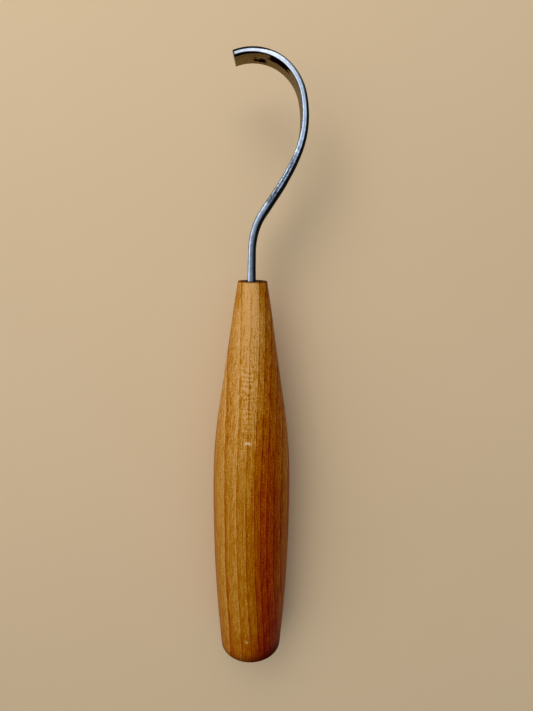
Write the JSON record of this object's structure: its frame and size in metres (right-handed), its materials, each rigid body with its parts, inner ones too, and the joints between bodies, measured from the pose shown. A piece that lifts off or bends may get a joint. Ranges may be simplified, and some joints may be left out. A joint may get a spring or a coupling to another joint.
{
  "type": "hook knife",
  "caption": "Hook knife for hollowing spoons and bowls: curved steel blade with an offset shank, hidden tang glued into a turned hardwood handle.",
  "frame": {"origin": "centre of the flat at the handle's butt end, on the handle's axis", "axes": "+Y along the handle's axis towards the blade; +Z is the side of the blade's spine, so the cutting edge faces -Z; the hook curls towards -X"},
  "size_m": [0.0342, 0.2322, 0.0304],
  "materials": {
    "blade_steel": "satin ground spine and hook, darker forge-scaled shank",
    "handle_wood": "oiled fine-grained hardwood, straight lengthwise growth rings, low sheen",
    "adhesive": "cured dark epoxy, slightly dished below the front face"
  },
  "bodies": {
    "root": {"blade": "blade_steel", "handle": "handle_wood", "tang_adhesive": "adhesive"}
  },
  "joints": []
}
